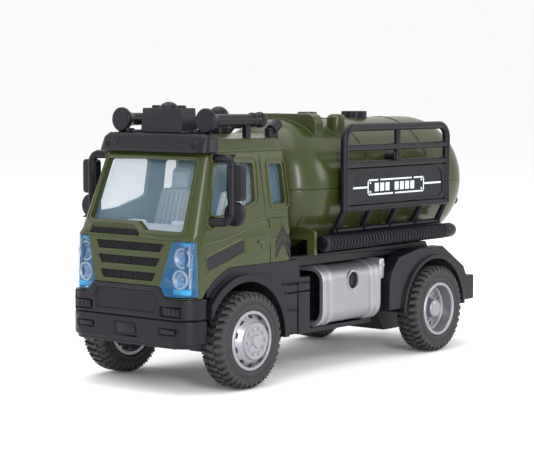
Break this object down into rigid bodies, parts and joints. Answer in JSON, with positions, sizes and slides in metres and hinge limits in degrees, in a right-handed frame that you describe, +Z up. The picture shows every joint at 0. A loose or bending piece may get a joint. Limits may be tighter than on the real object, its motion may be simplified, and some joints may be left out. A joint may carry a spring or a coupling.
{
  "type": "toy tanker truck",
  "caption": "Friction-drive toy tanker truck with a cab, a horizontal tank, side racks with hoses, side fuel tanks and a geared flywheel drive on the rear axle.",
  "frame": {"origin": "on the ground under the middle of the truck's overall box", "axes": "+X to the truck's left, +Y towards the rear, +Z up; the cab faces -Y"},
  "size_m": [0.0636, 0.1506, 0.0822],
  "materials": {
    "black_plastic": "semi-gloss moulded black",
    "olive_plastic": "glossy moulded olive green",
    "clear_blue": "clear light blue moulding",
    "grey_plastic": "satin pale grey",
    "sign_black": "semi-gloss black with printed white lines",
    "silver_plastic": "silver coated plastic, satin",
    "red_clear": "clear red moulding",
    "natural_plastic": "natural white moulding",
    "steel": "plain steel",
    "tyre": "satin black"
  },
  "bodies": {
    "chassis": {"chassis_frame": "black_plastic", "base_cover": "black_plastic", "front_bumper": "black_plastic", "rear_bumper": "black_plastic", "cab_skirt": "black_plastic", "cab_shell": "olive_plastic", "cab_glazing": "clear_blue", "grille_insert": "black_plastic", "headlamp_left": "clear_blue", "headlamp_right": "clear_blue", "cab_interior": "grey_plastic", "steering_wheel": "grey_plastic", "roof_visor": "black_plastic", "roof_lamp_box": "black_plastic", "roof_lamp_dome": "clear_blue", "air_horn_left": "black_plastic", "air_horn_right": "black_plastic", "roof_beacon": "black_plastic", "roof_spotlights": "black_plastic", "mirror_left": "black_plastic", "mirror_right": "black_plastic", "tank_upper_half": "olive_plastic", "tank_lower_half": "olive_plastic", "manhole_cover": "olive_plastic", "filler_cap": "black_plastic", "rear_valves": "black_plastic", "side_rack_left": "black_plastic", "side_rack_right": "black_plastic", "sign_board_left": "sign_black", "sign_board_right": "sign_black", "hose_left": "black_plastic", "hose_right": "black_plastic", "fuel_tank_left": "silver_plastic", "fuel_tank_right": "silver_plastic", "fuel_bracket_left": "silver_plastic", "fuel_bracket_right": "silver_plastic", "tail_lamps": "red_clear", "motor_case_left": "black_plastic", "motor_case_right": "black_plastic", "base_screws": "steel", "tank_screws": "steel", "cab_screws": "steel"},
    "front_wheelset": {"front_axle": "steel", "front_rim_left": "silver_plastic", "front_rim_right": "silver_plastic", "front_tyre_left": "tyre", "front_tyre_right": "tyre"},
    "rear_wheelset": {"rear_axle": "steel", "axle_gear": "natural_plastic", "rear_rim_left": "silver_plastic", "rear_rim_right": "silver_plastic", "rear_tyre_left": "tyre", "rear_tyre_right": "tyre"},
    "layshaft": {"layshaft": "natural_plastic"},
    "flywheel": {"flywheel": "steel"}
  },
  "joints": [
    {"name": "front_axle_spin", "type": "hinge", "parent": "chassis", "child": "front_wheelset", "pos_m": [0, -0.0517, 0.014], "axis": [1, 0, 0], "continuous": true},
    {"name": "rear_axle_spin", "type": "hinge", "parent": "chassis", "child": "rear_wheelset", "pos_m": [0, 0.0441, 0.014], "axis": [1, 0, 0], "continuous": true},
    {"name": "layshaft_spin", "type": "hinge", "parent": "chassis", "child": "layshaft", "pos_m": [0, 0.03844, 0.01966], "axis": [1, 0, 0], "continuous": true},
    {"name": "flywheel_spin", "type": "hinge", "parent": "chassis", "child": "flywheel", "pos_m": [0, 0.03044, 0.01966], "axis": [1, 0, 0], "continuous": true}
  ],
  "couplings": [
    {"joint": "rear_axle_spin", "follows": "flywheel_spin", "ratio": 0.11111},
    {"joint": "layshaft_spin", "follows": "flywheel_spin", "ratio": -0.33333}
  ]
}
